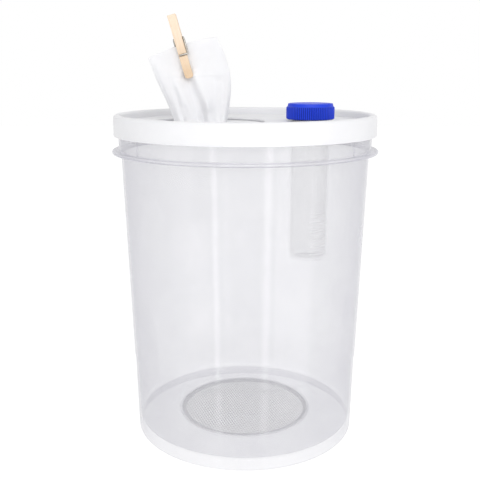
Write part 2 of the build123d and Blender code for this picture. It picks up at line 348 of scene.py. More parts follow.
@dataclass(frozen=True)
class SoftCloth(Finish):
    """Soft white cloth with a fine weave, in the piece's own UV map, whose unit is a millimetre."""

    colour: Triple = (0.95, 0.95, 0.965)
    shade_colour: Triple = (0.91, 0.91, 0.93)
    thread: float = 0.55
    relief: float = 0.00006

    def build(self, recipe: Recipe) -> bpy.types.Material:
        """Makes a soft diffuse cloth with a woven relief.

        Args:
            recipe: The empty material.

        Returns:
            The material.
        """
        chart = recipe.node("UVMap", uv_map="cloth").outputs[0]
        ways = recipe.node("SeparateXYZ", {"Vector": chart})
        across = recipe.math("SINE", recipe.math("MULTIPLY", ways.outputs[0], 2 * pi / self.thread))
        along = recipe.math("SINE", recipe.math("MULTIPLY", ways.outputs[1], 2 * pi / self.thread))
        weave = recipe.math("MULTIPLY", across, along)
        cloud = recipe.noise(recipe.place(), 60.0, 4.0)
        colour = recipe.blend_colours(recipe.spread(cloud, 0.3, 0.7), self.colour, self.shade_colour)
        fine = recipe.bump(weave, self.relief, 0.5)
        normal = recipe.bump(recipe.noise(recipe.place(), 220.0, 4.0), 0.0004, 0.35, fine)
        cloth = recipe.node("BsdfPrincipled", {
            "Base Color": colour, "Roughness": 0.9, "Specular IOR Level": 0.2, "Sheen Weight": 0.25,
            "Sheen Roughness": 0.5, "Normal": normal})
        glow = recipe.node("BsdfTranslucent", {"Color": colour, "Normal": normal})
        return recipe.finish(recipe.node("MixShader", {
            0: 0.12, 1: cloth.outputs[0], 2: glow.outputs[0]}).outputs[0])


@dataclass(frozen=True)
class BareWood(Finish):
    """Pale bare wood whose grain runs along the clothespin and that darkens towards the jaws."""

    centre: Triple = (-0.047, 0.0, 0.29025)
    lean: float = radians(15.9)
    pale: Triple = (0.84, 0.71, 0.58)
    deep: Triple = (0.76, 0.54, 0.33)

    def build(self, recipe: Recipe) -> bpy.types.Material:
        """Makes streaked wood from stretched noise.

        Args:
            recipe: The empty material.

        Returns:
            The material.
        """
        upright = recipe.place(self.centre, (0.0, -self.lean, 0.0))
        grain = recipe.place(self.centre, (0.0, -self.lean, 0.0), (0.0006, 0.0006, 0.014))
        streaks = recipe.noise(grain, 1.0, 5.0, 0.6)
        height = recipe.node("SeparateXYZ", {"Vector": upright}).outputs["Z"]
        towards_jaw = recipe.spread(height, 0.004, -0.024, 0.0, 0.5)
        share = recipe.math("ADD", recipe.spread(streaks, 0.3, 0.75, 0.0, 0.55), towards_jaw, clamp=True)
        colour = recipe.blend_colours(share, self.pale, self.deep)
        normal = recipe.bump(streaks, 0.00008, 0.6)
        rough = recipe.spread(streaks, 0.3, 0.7, 0.5, 0.68)
        return recipe.finish(recipe.node("BsdfPrincipled", {
            "Base Color": colour, "Roughness": rough, "Specular IOR Level": 0.3, "Normal": normal}).outputs[0])


TUB_PLASTIC = SeeThroughMoulding("tub_plastic", (0.64, 0.635, 0.69), 0.17, 0.2135)
TUBE_PLASTIC = SeeThroughMoulding("tube_plastic", (1.0, 1.0, 1.0), 0.012, gloss=0.08, edge_haze=16.0)
MARK_PLASTIC = SolidMoulding("mark_plastic", (0.95, 0.95, 0.96), (0.92, 0.92, 0.93))
GLUE = SeeThroughMoulding("clear_glue", haze=0.15, gloss=0.2, ripple=0.0001)
LID_PLASTIC = SolidMoulding("lid_plastic")
# The cap's last two values paint shade into the valleys between its grip ribs, up to the grip's top.
CAP_PLASTIC = SolidMoulding("cap_plastic", (0.018, 0.06, 0.68), (0.013, 0.045, 0.6), 0.4, 0.00002, 0.2,
                            (0.0475, 0.01695, 0.0174), 0.2443)
LINER_FOAM = SolidMoulding("liner_foam", (0.88, 0.88, 0.86), (0.83, 0.83, 0.81), 0.8, 0.0001)
MESH_METAL = DrawnMetal("mesh_metal", (0.3, 0.3, 0.31), (0.2, 0.2, 0.21))
SPRING_METAL = DrawnMetal("spring_metal", (0.5, 0.48, 0.44), (0.34, 0.32, 0.29), 0.3)
SLEEVE_CLOTH = SoftCloth("sleeve_cloth")
PEG_WOOD = BareWood("peg_wood")


def turned(corners: Sequence[Triple], steps: int = 160, centre_x: float = 0.0, closed: bool = True,
           turn: float = 2 * pi, start: float = 0.0, rise: float = 0.0) -> Mesh:
    """Spins an outline about a vertical axis.

    Args:
        corners: Radius, height and cut-back of the rounding at each corner of the outline.
        steps: Faces round the axis.
        centre_x: Where the axis stands.
        closed: Whether the outline comes back to its first corner.
        turn: Angle of the spin, from start.
        start: Angle at which it begins, from +X.
        rise: Height gained over the whole spin.

    Returns:
        The new mesh, in millimetres.
    """
    bm = bmesh.new()
    points = [bm.verts.new((radius, 0, height)) for radius, height, rounding in corners]
    for first, second in zip(points, points[1:] + points[:1] * closed):
        bm.edges.new((first, second))
    for cut in sorted({rounding for *_, rounding in corners if rounding}):
        picked = [v for v, corner in zip(points, corners) if corner[2] == cut]
        bmesh.ops.bevel(bm, geom=picked, offset=cut, offset_type="OFFSET", segments=4, profile=0.5,
                        affect="VERTICES", material=-1)
    full = abs(turn - 2 * pi) < 1e-6 and not rise
    swung(bm, start)
    profile = bm.edges[:]
    made = bmesh.ops.spin(bm, geom=bm.verts[:] + profile, cent=(0, 0, 0), axis=(0, 0, 1), angle=turn,
                          dvec=(0, 0, rise / steps), steps=steps, use_merge=full, use_normal_flip=False,
                          use_duplicate=False)
    if closed and not full:
        last = [item for item in made["geom_last"] if isinstance(item, bmesh.types.BMEdge)]
        bmesh.ops.contextual_create(bm, geom=profile)
        bmesh.ops.contextual_create(bm, geom=last)
    bmesh.ops.remove_doubles(bm, verts=bm.verts[:], dist=1e-5)
    outward(bm)
    shifted(bm, (centre_x, 0, 0))
    return bm


def joined(parts: Sequence[Mesh]) -> Mesh:
    """Puts several meshes into the first of them and frees the others.

    Args:
        parts: The meshes, in millimetres.

    Returns:
        The first mesh, with all of them in it.
    """
    whole = parts[0]
    for part in parts[1:]:
        shell = bpy.data.meshes.new("part")
        part.to_mesh(shell)
        whole.from_mesh(shell)
        bpy.data.meshes.remove(shell)
        part.free()
    return whole


def shifted(bm: Mesh, way: Sequence[float]) -> None:
    """Moves a whole mesh."""
    bmesh.ops.translate(bm, verts=bm.verts[:], vec=way)


def swung(bm: Mesh, angle: float) -> None:
    """Turns a whole mesh about the Z axis."""
    bmesh.ops.rotate(bm, verts=bm.verts[:], cent=(0, 0, 0), matrix=Matrix.Rotation(angle, 3, "Z"))


def outward(bm: Mesh) -> None:
    """Turns every face of a mesh to the outside."""
    bmesh.ops.recalc_face_normals(bm, faces=bm.faces[:])


def staged(name: str, data: bpy.types.ID) -> bpy.types.Object:
    """Makes an object in the scene.

    Args:
        name: Its name.
        data: Its mesh, light or camera.

    Returns:
        The object.
    """
    made = bpy.data.objects.new(name, data)
    bpy.context.scene.collection.objects.link(made)
    return made


def piped(points: Sequence[Vector], radius: float, sides: int, place: Matrix) -> Mesh:
    """Sweeps a round section along points.

    Args:
        points: The middle line.
        radius: Radius of the section.
        sides: Its number of sides.
        place: Move of the finished mesh.

    Returns:
        The closed mesh.
    """
    steps = len(points) - 1
    way = (points[1] - points[0]).normalized()
    side = way.orthogonal().normalized()
    rings = []
    for index, point in enumerate(points):
        ahead = (points[min(index + 1, steps)] - points[max(index - 1, 0)]).normalized()
        side.rotate(way.rotation_difference(ahead))
        way = ahead
        other = way.cross(side)
        rings.append([point + radius * (cos(2 * pi * n / sides) * side + sin(2 * pi * n / sides) * other)
                      for n in range(sides + 1)])
    bm = bmesh.new()
    bmesh.ops.create_grid(bm, x_segments=steps, y_segments=sides, size=0.5)
    for vert in bm.verts:
        vert.co = rings[round((vert.co.x + 0.5) * steps)][round((vert.co.y + 0.5) * sides)]
    bmesh.ops.remove_doubles(bm, verts=bm.verts[:], dist=1e-5)
    bmesh.ops.holes_fill(bm, edges=[edge for edge in bm.edges if edge.is_boundary], sides=0)
    outward(bm)
    bmesh.ops.transform(bm, matrix=place, verts=bm.verts[:])
    return bm


def finished(name: str, bm: Mesh, finish: Finish, body: Body,
             replaces: Sequence[str] = (), sharp: float = 32.0) -> bpy.types.Object:
    """Turns a mesh in millimetres into a piece that rides on its body.

    Args:
        name: Name of the piece.
        bm: The mesh, which is used up.
        finish: What it is made of.
        body: The body it rides on.
        replaces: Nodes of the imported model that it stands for.
        sharp: Degrees between faces from which an edge is drawn sharp.

    Returns:
        The new object.
    """
    bmesh.ops.scale(bm, vec=(METRE, METRE, METRE), verts=bm.verts[:])
    for face in bm.faces:
        face.smooth = True
    for edge in bm.edges:
        edge.smooth = edge.calc_face_angle(0.0) < radians(sharp)
    mesh = bpy.data.meshes.new(name)
    bm.to_mesh(mesh)
    bm.free()
    piece = staged(name, mesh)
    mesh.materials.append(finish.material())
    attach(piece, body.value)
    if replaces:
        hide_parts(*replaces)
    LOG.info("%s: %d faces, rides on %s", name, len(mesh.polygons), body.value)
    return piece


def dress_node(node: str, finish: Finish) -> None:
    """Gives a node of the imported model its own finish.

    Args:
        node: The node's name.
        finish: What it is made of.
    """
    piece = frame["nodes"][node]
    for place in piece.material_slots:
        place.material = finish.material()
    LOG.info("%s: dressed as %s", node, finish.name)


@dataclass
class Tub:
    """Translucent tub with its flange, neck and stacking step."""

    wall: float = 1.4
    foot_radius: float = 83.3
    wall_top_radius: float = 90.0
    step_level: float = 59.3
    step_height: float = 0.8
    step_inset: float = 0.5
    floor_top: float = 9.0
    flange_underside: float = 212.4
    flange_top: float = 214.6
    flange_radius: float = 96.4
    neck_radius: float = 91.6
    rim_height: float = 237.9
    vent_radius: float = 46.5
    rim_swell: float = 1.4
    rib_angle: float = 51.0
    rib_top: float = 224.6
    rib_size: Pair = (1.0, 1.2)

    def wall_radius(self, level: float) -> float:
        """Returns the outer radius of the wall above the step at a height."""
        return self.foot_radius + (self.wall_top_radius - self.foot_radius) * level / self.flange_underside

    def band_radius(self, level: float) -> float:
        """Returns the outer radius of the band below the step at a height."""
        top = self.wall_radius(self.step_level) - self.step_inset
        return self.foot_radius + (top - self.foot_radius) * level / self.step_level

    def shell(self) -> Mesh:
        """Makes the tub's wall, floor, flange, neck and rim.

        Returns:
            The mesh, in millimetres.
        """
        step_top = self.step_level + self.step_height
        rim = self.neck_radius + self.rim_swell
        inside = self.neck_radius - self.wall
        return turned([
            (self.foot_radius - 1.9, 0, 0.3),
            (self.band_radius(0), 0, 1.3),
            (self.band_radius(self.step_level), self.step_level, 0.25),
            (self.wall_radius(step_top), step_top, 0.25),
            (self.wall_top_radius, self.flange_underside, 0.5),
            (self.flange_radius, self.flange_underside, 0.9),
            (self.flange_radius, self.flange_top, 0.9),
            (self.neck_radius, self.flange_top, 0.5),
            (self.neck_radius, self.rim_height - 6.4, 0),
            (rim, self.rim_height - 5.0, 0),
            (rim, self.rim_height, 0.5),
            (inside + 1.0, self.rim_height, 0.4),
            (inside + 1.0, self.rim_height - 7.5, 0.3),
            (inside, self.rim_height - 8.5, 0.3),
            (inside, self.flange_top, 0.5),
            (self.wall_top_radius - self.wall, self.flange_underside - 1.6, 0.5),
            (self.wall_radius(step_top) - self.wall, step_top, 0.25),
            (self.band_radius(self.step_level) - self.wall, self.step_level, 0.25),
            (self.band_radius(self.floor_top) - self.wall, self.floor_top, 1.6),
            (self.vent_radius, self.floor_top, 0.3),
            (self.vent_radius, self.floor_top - self.wall, 0.3),
            (self.band_radius(7.6) - 2.4, self.floor_top - self.wall, 1.0),
        ], steps=192)

    def neck_rib(self, angle: float) -> Mesh:
        """Makes one thin upright rib on the neck.

        Args:
            angle: Degrees from the front.

        Returns:
            The mesh, in millimetres.
        """
        low, high = self.flange_top - 0.2, self.rib_top
        bm = bmesh.new()
        bmesh.ops.create_cube(bm, size=1.0)
        bmesh.ops.scale(bm, vec=(*self.rib_size, high - low), verts=bm.verts[:])
        bmesh.ops.bevel(bm, geom=bm.edges[:], offset=0.25, offset_type="OFFSET", segments=2, profile=0.5,
                        affect="EDGES", material=-1)
        shifted(bm, (self.neck_radius + 0.3, 0, (low + high) / 2))
        swung(bm, radians(angle - 90))
        return bm

    def build(self) -> None:
        """Makes the tub."""
        ribs = [self.neck_rib(a) for a in (self.rib_angle, -self.rib_angle, 180 - self.rib_angle,
                                           180 + self.rib_angle)]
        finished("tub_shell", joined([self.shell(), *ribs]), TUB_PLASTIC, Body.TUB, ["tub"])


@dataclass
class Vent:
    """Round vent of plain-woven wire that is glued over the hole in the floor."""

    level: float = 9.0
    radius: float = 50.1
    pitch: float = 1.855
    wire: float = 0.4
    turn: float = 19.7
    steps_a_pitch: int = 4
    sides: int = 5

    def wires(self, across: bool) -> Mesh:
        """Makes all the wires of one direction as waves over and under the other direction's.

        Args:
            across: Whether these are the wires across the others.

        Returns:
            The mesh, in millimetres.
        """
        reach = int(self.radius / self.pitch)
        middle = self.level + self.wire
        wires = []
        for row in range(-reach, reach + 1):
            offset = row * self.pitch
            half = sqrt(self.radius ** 2 - offset ** 2) - self.wire
            if half < self.pitch:
                continue
            steps = max(4, round(2 * half / self.pitch * self.steps_a_pitch))
            points = []
            for step in range(steps + 1):
                along = half * (2 * step / steps - 1)
                wave = self.wire / 2 * cos(pi * (along / self.pitch + row + across))
                points.append(Vector((along, offset, middle + wave)))
            wires.append(piped(points, self.wire / 2, self.sides, Matrix()))
        bm = joined(wires)
        swung(bm, radians(self.turn - 90 + 90 * across))
        return bm

    def bead(self) -> Mesh:
        """Makes the bead of glue over the edge of the mesh.

        Returns:
            The mesh, in millimetres.
        """
        return turned([
            (self.radius + 1.3, self.level + 0.02, 0),
            (self.radius + 1.1, self.level + 0.7, 0.3),
            (self.radius - 0.2, self.level + 1.3, 0.5),
            (self.radius - 1.3, self.level + 1.0, 0.2),
            (self.radius - 1.4, self.level + 0.02, 0),
        ], 128)

    def build(self) -> None:
        """Makes the woven vent and its bead."""
        for name, across in (("vent_warp", False), ("vent_weft", True)):
            finished(name, self.wires(across), MESH_METAL, Body.TUB, ["vent_mesh"], sharp=60)
        finished("vent_bead", self.bead(), GLUE, Body.TUB, ["vent_bond_bead"])


@dataclass
class Lid:
    """White snap lid with a sunk panel, a hand hole and a hole for the sample tube."""

    top: float = 239.6
    roof: float = 238.1
    skirt_bottom: float = 224.8
    radius: float = 94.8
    skirt_inner_radius: float = 93.3
    plug_radius: float = 90.9
    recess_radius: float = 89.4
    panel_top: float = 234.2
    panel_bottom: float = 232.7
    hand_hole: Pair = (-27.1, 41.6)
    tube_hole: Pair = (47.5, 14.7)
    hole_ease: float = 0.35
    steps: int = 192
    hole_steps: int = 96

    def rim(self) -> Mesh:
        """Makes the skirt, crest and plug wall, open where the panel joins them.

        Returns:
            The mesh, in millimetres.
        """
        return turned([
            (self.recess_radius, self.panel_top, 0),
            (self.recess_radius, self.panel_top + 0.6, 0),
            (self.recess_radius, self.top, 1.9),
            (self.radius, self.top, 2.3),
            (self.radius + 0.3, self.skirt_bottom, 0.5),
            (self.skirt_inner_radius + 0.3, self.skirt_bottom, 0.4),
            (self.skirt_inner_radius, self.roof, 0.4),
            (self.plug_radius, self.roof, 0.4),
            (self.plug_radius, self.panel_bottom, 0),
        ], self.steps, closed=False)

    def loop(self, bm: Mesh, centre_x: float, radius: float, level: float, steps: int) -> list:
        """Adds a circle at a level.

        Args:
            bm: The mesh that it goes into.
            centre_x: Middle of the circle.
            radius: Its radius.
            level: Its height.
            steps: Its number of edges.

        Returns:
            The circle's edges.
        """
        ring = bmesh.ops.create_circle(bm, cap_ends=False, segments=steps, radius=radius)["verts"]
        bmesh.ops.translate(bm, verts=ring, vec=(centre_x, 0, level))
        return list({edge for vert in ring for edge in vert.link_edges})

    def shell(self) -> Mesh:
        """Makes the whole lid as one closed shell.

        Returns:
            The mesh, in millimetres.
        """
        bm = self.rim()
        rim_edges = [edge for edge in bm.edges if edge.is_boundary]
        holes = (self.hand_hole, self.tube_hole)
        rings = {}
        for level in (self.panel_top, self.panel_bottom):
            outer = [edge for edge in rim_edges if abs(edge.verts[0].co.z - level) < 1e-3]
            inner = []
            for centre_x, radius in holes:
                rings[centre_x, level] = self.loop(bm, centre_x, radius + self.hole_ease, level, self.hole_steps)
                inner += rings[centre_x, level]
            bmesh.ops.triangle_fill(bm, use_beauty=True, use_dissolve=False, edges=outer + inner)
        for centre_x, radius in holes:
            sides = []
            for level, inward in ((self.panel_top, -self.hole_ease), (self.panel_bottom, self.hole_ease)):
                lip = self.loop(bm, centre_x, radius, level + inward, self.hole_steps)
                bmesh.ops.bridge_loops(bm, edges=rings[centre_x, level] + lip)
                sides += lip
            bmesh.ops.bridge_loops(bm, edges=sides)
        outward(bm)
        return bm

    def build(self) -> None:
        """Makes the lid."""
        finished("lid_shell", self.shell(), LID_PLASTIC, Body.LID, ["lid"], sharp=25)


@dataclass
class SampleTube:
    """Clear tube with graduation lines and a thread, its ribbed cap and the cap's liner."""

    centre_x: float = 47.5
    radius: float = 14.4
    draft: float = 0.2
    wall: float = 1.1
    bottom: float = 131.5
    mouth: float = 244.1
    collar_bottom: float = 234.4
    cap_bottom: float = 235.6
    cap_crest: float = 246.9
    cap_radius: float = 17.5
    cap_inner_radius: float = 15.6
    ribs: int = 72
    rib_height: float = 0.55
    first_mark: float = 137.0
    mark_step: float = 5.85
    marks: int = 6
    mark_reach: Pair = (62, 52)
    thread_rise: float = 5.0
    steps_a_rib: int = 4

    def glass(self) -> Mesh:
        """Makes the tube's wall, rounded bottom and collar.

        Returns:
            The mesh, in millimetres.
        """
        low = self.radius - self.draft
        return turned([
            (0, self.bottom + 1.2, 0),
            (low - 4.5, self.bottom + 0.9, 0.4),
            (low - 3.6, self.bottom, 0.5),
            (low, self.bottom, 2.8),
            (self.radius, self.collar_bottom, 0.2),
            (self.radius + 1.8, self.collar_bottom, 0.25),
            (self.radius + 1.8, self.collar_bottom + 1.0, 0.25),
            (self.radius, self.collar_bottom + 1.0, 0.2),
            (self.radius, self.mouth, 0.35),
            (self.radius - self.wall, self.mouth, 0.35),
            (low - self.wall, self.bottom + self.wall + 1.0, 2.4),
            (0, self.bottom + self.wall + 1.4, 0),
        ], 96, self.centre_x, closed=False)

    def thread(self) -> Mesh:
        """Makes the screw thread on the tube's neck, one and a half turns long.

        Returns:
            The mesh, in millimetres.
        """
        crest = self.radius + 0.8
        start = self.collar_bottom + 2.2
        return turned([
            (self.radius - 0.3, start, 0),
            (crest, start + 0.55, 0.15),
            (crest, start + 0.95, 0.15),
            (self.radius - 0.3, start + 1.5, 0),
        ], 96, self.centre_x, turn=3 * pi, rise=self.thread_rise)

    def mark(self, level: float, reach: float) -> Mesh:
        """Makes one raised graduation line.

        Args:
            level: Its height.
            reach: Its length, in degrees round the tube.

        Returns:
            The mesh, in millimetres.
        """
        outer = self.radius - self.draft + 0.12
        return turned([
            (outer - 0.4, level - 0.22, 0),
            (outer + 0.1, level - 0.16, 0),
            (outer + 0.1, level + 0.16, 0),
            (outer - 0.4, level + 0.22, 0),
        ], 24, self.centre_x, turn=radians(reach), start=radians(-88))

    def cap(self) -> Mesh:
        """Makes the hollow cap with its ribbed grip.

        Returns:
            The mesh, in millimetres.
        """
        body = self.cap_radius - self.rib_height
        grip_top = self.cap_crest - 2.4
        bm = turned([
            (0, self.cap_crest - 0.25, 0),
            (body - 2.6, self.cap_crest - 0.25, 0.2),
            (body - 2.2, self.cap_crest, 0.15),
            (body - 0.8, self.cap_crest, 0.45),
            (body - 0.35, grip_top + 0.5, 0.2),
            (body, grip_top, 0),
            (body, grip_top - 0.6, 0),
            (body, self.cap_bottom + 0.6, 0),
            (body, self.cap_bottom, 0.2),
            (self.cap_inner_radius, self.cap_bottom, 0.3),
            (self.cap_inner_radius, self.cap_crest - 1.4, 0.5),
            (0, self.cap_crest - 1.4, 0),
        ], self.ribs * self.steps_a_rib, closed=False)
        for vert in bm.verts:
            angle = atan2(vert.co.y, vert.co.x) / (2 * pi) * self.ribs * self.steps_a_rib
            on_grip = self.cap_bottom + 0.5 < vert.co.z < grip_top - 0.5
            if on_grip and hypot(vert.co.x, vert.co.y) > body - 0.1 and round(angle) % self.steps_a_rib < 2:
                swell = 1 + self.rib_height / body
                vert.co = Vector((vert.co.x * swell, vert.co.y * swell, vert.co.z))
        outward(bm)
        shifted(bm, (self.centre_x, 0, 0))
        return bm

    def build(self) -> None:
        """Makes the tube, its lines and thread, and the cap."""
        finished("tube_wall", joined([self.glass(), self.thread()]), TUBE_PLASTIC, Body.TUBE, ["tube"])
        lines = [self.mark(self.first_mark + self.mark_step * n, self.mark_reach[n % 2]) for n in range(self.marks)]
        finished("tube_marks", joined(lines), MARK_PLASTIC, Body.TUBE)
        finished("cap_shell", self.cap(), CAP_PLASTIC, Body.CAP, ["tube_cap"], sharp=28)
        dress_node("cap_liner", LINER_FOAM)


@dataclass
class Sleeve:
    """Cloth sleeve: bonded under the panel, gathered in the hand hole and pinched flat by the clothespin."""

    hole_x: float = -27.1
    bond_radius: float = 47.0
    edge_radius: float = 41.0
    panel_bottom: float = 232.7
    dish_bottom: float = 225.2
    dish_share: float = 0.24
    flat_share: float = 0.14
    thickness: float = 0.32
    pleat_depth: float = 0.75
    top_bow: float = 2.2
    around: int = 192
    levels: int = 118
    chart_size: Pair = (150.0, 110.0)
    cut: Pair = (0.295, 0.1)
    cut_area: float = 0.0165

    def neck_lines(self) -> list[tuple[float, ...]]:
        """Lists the neck's lines from low to high.

        Returns:
            Left X and height, right X and height and half thickness of each line.
        """
        return [
            (-48.0, 226.5, -13.5, 226.5, 12.0),
            (-51.2, 233.4, -13.5, 233.4, 10.2),
            (-56.0, 246.3, -11.6, 245.6, 6.8),
            (-59.8, 255.0, -10.5, 256.5, 4.4),
            (-63.5, 263.2, -10.7, 264.8, 2.2),
            (-66.4, 270.8, -11.9, 271.7, 0.8),
            (-68.2, 275.2, -15.0, 281.5, 0.55),
            (-69.3, 278.5, -20.4, 293.2, 0.5),
        ]

    def folds(self) -> list[Segment]:
        """Lists the cloth's folds.

        Returns:
            Start and end, in X and Z on the front, and width and depth, which is towards the front.
        """
        return [
            ((-64.0, 274.0), (-54.0, 250.0), 3.0, 1.1),
            ((-53.0, 277.0), (-51.0, 270.0), 5.0, -0.9),
            ((-48.0, 259.0), (-37.0, 238.0), 3.2, 1.6),
            ((-41.0, 266.0), (-31.0, 234.0), 4.6, -4.2),
            ((-36.5, 266.0), (-26.5, 244.0), 3.0, 2.8),
            ((-27.5, 247.0), (-24.5, 232.0), 3.2, 2.2),
            ((-27.0, 279.0), (-29.0, 271.0), 6.0, -1.3),
            ((-19.0, 262.0), (-19.5, 236.0), 3.5, -1.2),
            ((-15.5, 246.0), (-16.5, 232.0), 1.6, 0.9),
            ((-43.5, 244.0), (-43.0, 232.0), 1.8, -1.2),
            ((-34.5, 240.0), (-33.0, 231.0), 1.3, 0.9),
            ((-30.0, 240.0), (-29.0, 231.0), 1.1, -0.8),
        ]

    def fold_at(self, x: float, z: float) -> float:
        """Adds up how far the folds push the cloth to the front at a place.

        Args:
            x: The place's X.
            z: Its height.

        Returns:
            The way to the front, in millimetres.
        """
        total = 0.0
        for (x0, z0), (x1, z1), width, depth in self.folds():
            run, climb = x1 - x0, z1 - z0
            share = ((x - x0) * run + (z - z0) * climb) / (run * run + climb * climb)
            share = min(max(share, 0.0), 1.0)
            away = hypot(x - x0 - share * run, z - z0 - share * climb)
            total += depth * exp(-(away / width) ** 2)
        return total

    def neck_point(self, turn: float, share: float) -> Vector:
        """Returns a point of the neck's cloth.

        Args:
            turn: Angle round the neck, 0 at its right edge and a quarter at its back.
            share: 0 at the lowest of the neck's lines, 1 at its top edge.

        Returns:
            The point, in millimetres.
        """
        lines = self.neck_lines()
        place = share * (len(lines) - 1)
        low = min(int(place), len(lines) - 2)
        mix = place - low
        before, after = lines[max(low - 1, 0)], lines[min(low + 2, len(lines) - 1)]
        values = []
        for p0, p1, p2, p3 in zip(before, lines[low], lines[low + 1], after):
            values.append(0.5 * (2 * p1 + (p2 - p0) * mix + (2 * p0 - 5 * p1 + 4 * p2 - p3) * mix ** 2
                                 + (3 * p1 - p0 - 3 * p2 + p3) * mix ** 3))
        left_x, left_z, right_x, right_z, half = values
        side = cos(turn)
        x = (left_x + right_x) / 2 + side * (right_x - left_x) / 2
        z = (left_z + right_z) / 2 + side * (right_z - left_z) / 2
        bow = self.top_bow * max(share - 0.75, 0.0) * 4 * (1 - side * side)
        fade = min(1.0, max(0.0, (1.0 - share) * 5.0)) * sqrt(max(0.0, 1 - side ** 8))
        pleat = self.pleat_depth * (1 - share) ** 2 * (sin(15 * turn + 1.0) + 0.5 * sin(23 * turn))
        grip = max(half, 0.45)
        y = grip * sin(turn) * (1 - 0.25 * abs(sin(turn)) * (share < 0.6))
        y -= fade * self.fold_at(x, z) * (1.0 if sin(turn) < 0 else 0.75)
        y += pleat * (1 if sin(turn) > 0 else -1) * sqrt(abs(sin(turn)))
        return Vector((x + 0.35 * pleat * side, y, z + bow))

    def dish_point(self, turn: float, share: float) -> Vector:
        """Returns a point of the gathered dish below the panel.

        Args:
            turn: Angle round the dish, as round the neck.
            share: 0 at the bond, 1 at the neck.

        Returns:
            The point, in millimetres.
        """
        end = self.neck_point(turn, 0.0)
        rim = Vector((self.hole_x + self.bond_radius * cos(turn), self.bond_radius * sin(turn),
                      self.panel_bottom - 0.4))
        inner = Vector((self.hole_x + self.edge_radius * cos(turn), self.edge_radius * sin(turn),
                        self.panel_bottom - 0.45))
        if share < self.flat_share:
            return rim.lerp(inner, share / self.flat_share)
        go = (share - self.flat_share) / (1 - self.flat_share)
        point = inner.lerp(end, go)
        sag = sin(pi * go) * 1.5
        gather = 0.9 * sin(pi * go) * sin(21 * turn + 2.0 * sin(3 * turn)) * go
        point.z = inner.z + (self.dish_bottom - inner.z) * min(1.0, go * 3.0) ** 0.8 * (1 - go ** 6) \
            + (end.z - inner.z) * go ** 6 - sag * 0.4 + gather
        return point

    def cloth(self) -> Mesh:
        """Makes the sleeve's cloth with its UV map, whose unit is a millimetre.

        Returns:
            The mesh, in millimetres.
        """
        wide, long = self.chart_size
        bm = bmesh.new()
        bmesh.ops.create_grid(bm, x_segments=self.around, y_segments=self.levels, size=0.5, calc_uvs=False)
        chart = bm.loops.layers.uv.new("cloth")
        for face in bm.faces:
            for loop in face.loops:
                loop[chart].uv = ((loop.vert.co.x + 0.5) * wide, (loop.vert.co.y + 0.5) * long)
        for vert in bm.verts:
            turn, share = 2 * pi * (vert.co.x + 0.5), vert.co.y + 0.5
            if share < self.dish_share:
                vert.co = self.dish_point(turn, share / self.dish_share)
            else:
                vert.co = self.neck_point(turn, (share - self.dish_share) / (1 - self.dish_share))
        bmesh.ops.remove_doubles(bm, verts=bm.verts[:], dist=1e-3)
        bmesh.ops.smooth_vert(bm, verts=[v for v in bm.verts if not v.is_boundary], factor=0.5,
                              use_axis_x=True, use_axis_y=True, use_axis_z=True)
        outward(bm)
        return bm

    def bead(self) -> Mesh:
        """Makes the bead of glue that holds the cloth under the panel.

        Returns:
            The mesh, in millimetres.
        """
        level = self.panel_bottom
        return turned([
            (self.bond_radius + 1.2, level - 0.02, 0),
            (self.bond_radius + 1.0, level - 0.7, 0.3),
            (self.bond_radius - 0.1, level - 1.25, 0.4),
            (self.bond_radius - 0.9, level - 0.9, 0.1),
            (self.bond_radius - 0.9, level - 0.02, 0),
        ], 96, self.hole_x)

    def build(self) -> None:
        """Makes the sleeve and the bead that holds it."""
        piece = finished("sleeve_cloth", self.cloth(), SLEEVE_CLOTH, Body.LID, ["sleeve"], sharp=75)
        skin = piece.modifiers.new("cloth_thickness", "SOLIDIFY")
        skin.thickness = self.thickness * METRE
        skin.offset = 0.0
        finished("sleeve_bead", self.bead(), GLUE, Body.LID, ["sleeve_bond_bead"])


